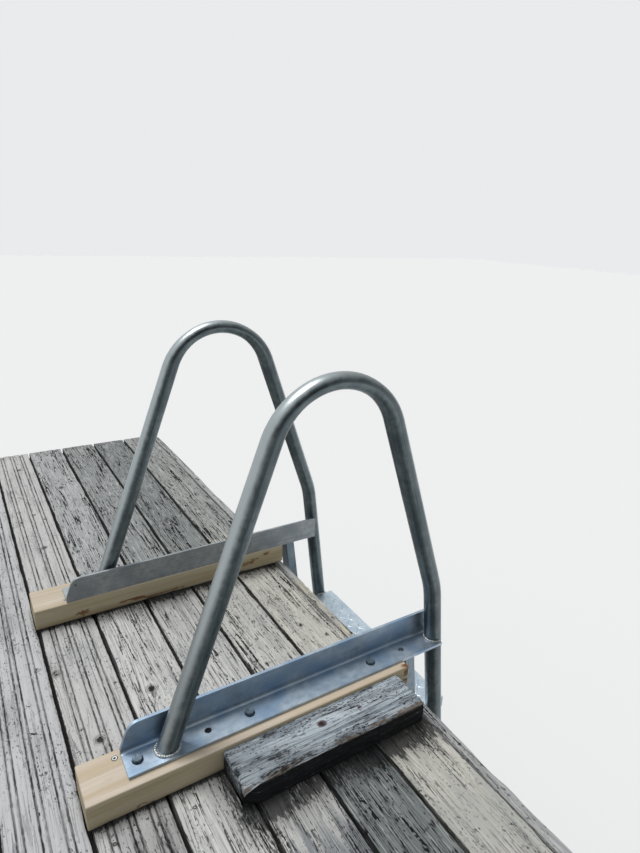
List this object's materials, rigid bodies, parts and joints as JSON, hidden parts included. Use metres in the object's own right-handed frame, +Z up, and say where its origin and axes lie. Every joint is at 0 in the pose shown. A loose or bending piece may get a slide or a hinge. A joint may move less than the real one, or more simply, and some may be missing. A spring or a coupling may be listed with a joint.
{
  "type": "timber jetty with swimming ladder",
  "caption": "Weathered grooved-board jetty on round timber posts, with a bent-tube swimming ladder bolted on packers over one side.",
  "frame": {"origin": "centre of the shore end joist's outer face", "axes": "+X across the deck towards the ladder side, +Y along the jetty towards its outer end, +Z up"},
  "size_m": [1.8494, 6, 2.2641],
  "materials": {
    "deck_boards": "weathered grey grooved softwood",
    "edge_boards": "weathered softwood, rotten in places",
    "under_timbers": "damp weathered sawn timber",
    "posts": "dark wet round timber",
    "new_pine": "new planed pine with knots",
    "angle_metal": "satin mill-finish angle section",
    "tube_metal": "weathered satin tube",
    "checker_plate": "raised-pattern tread plate",
    "old_block": "old split timber, black with wet on the sides"
  },
  "bodies": {
    "root": {"deck_board_01": "deck_boards", "deck_board_02": "deck_boards", "deck_board_03": "deck_boards", "deck_board_04": "deck_boards", "deck_board_05": "deck_boards", "deck_board_06": "deck_boards", "deck_board_07": "deck_boards", "deck_board_08": "deck_boards", "deck_board_09": "deck_boards", "deck_board_10": "deck_boards", "deck_board_11": "deck_boards", "deck_board_12": "deck_boards", "edge_board_open_side": "edge_boards", "edge_board_ladder_side": "edge_boards", "end_joist_shore": "under_timbers", "end_joist_outer": "under_timbers", "inner_joists": "under_timbers", "stringer_left": "under_timbers", "stringer_middle": "under_timbers", "stringer_right": "under_timbers", "cap_beam_1": "under_timbers", "cap_beam_2": "under_timbers", "cap_beam_3": "under_timbers", "cap_beam_4": "under_timbers", "post_1_left": "posts", "post_1_right": "posts", "post_2_left": "posts", "post_2_right": "posts", "post_3_left": "posts", "post_3_right": "posts", "post_4_left": "posts", "post_4_right": "posts", "ladder_packer_shore": "new_pine", "ladder_packer_outer": "new_pine", "ladder_bracket_shore": "angle_metal", "ladder_bracket_outer": "angle_metal", "ladder_rail_shore": "tube_metal", "ladder_rail_outer": "tube_metal", "ladder_upright_shore": "tube_metal", "ladder_upright_outer": "tube_metal", "ladder_step_1": "checker_plate", "ladder_step_2": "checker_plate", "ladder_step_3": "checker_plate", "ladder_step_4": "checker_plate", "loose_block": "old_block"}
  },
  "joints": []
}
